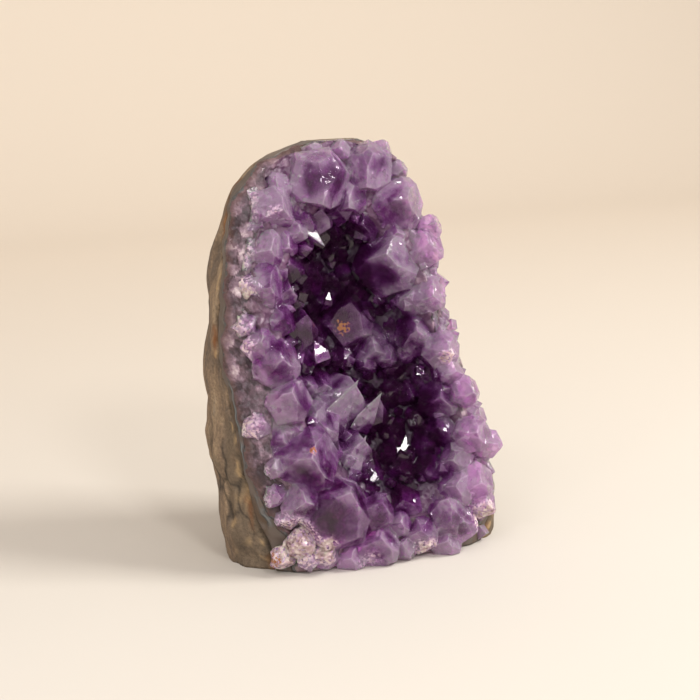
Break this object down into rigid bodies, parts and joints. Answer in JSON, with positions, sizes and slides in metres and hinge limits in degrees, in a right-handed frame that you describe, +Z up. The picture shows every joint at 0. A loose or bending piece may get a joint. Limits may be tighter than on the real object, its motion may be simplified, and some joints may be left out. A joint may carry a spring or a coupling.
{
  "type": "amethyst cluster",
  "caption": "Sawn piece of an amethyst geode standing on its flat cut base: rough basalt back, thin agate band and a crust of purple quartz crystals on the front.",
  "frame": {"origin": "on the sawn base, under the middle of the rock", "axes": "+Z up from the sawn base, -Y towards the side that the crystals face, +X to the right as seen from that side"},
  "size_m": [0.0877, 0.0549, 0.117],
  "materials": {
    "basalt": "rough weathered stone",
    "agate": "waxy stone",
    "amethyst": "glassy crystal"
  },
  "bodies": {
    "root": {"basalt_rind": "basalt", "agate_band": "agate", "amethyst_crust": "amethyst"}
  },
  "joints": []
}
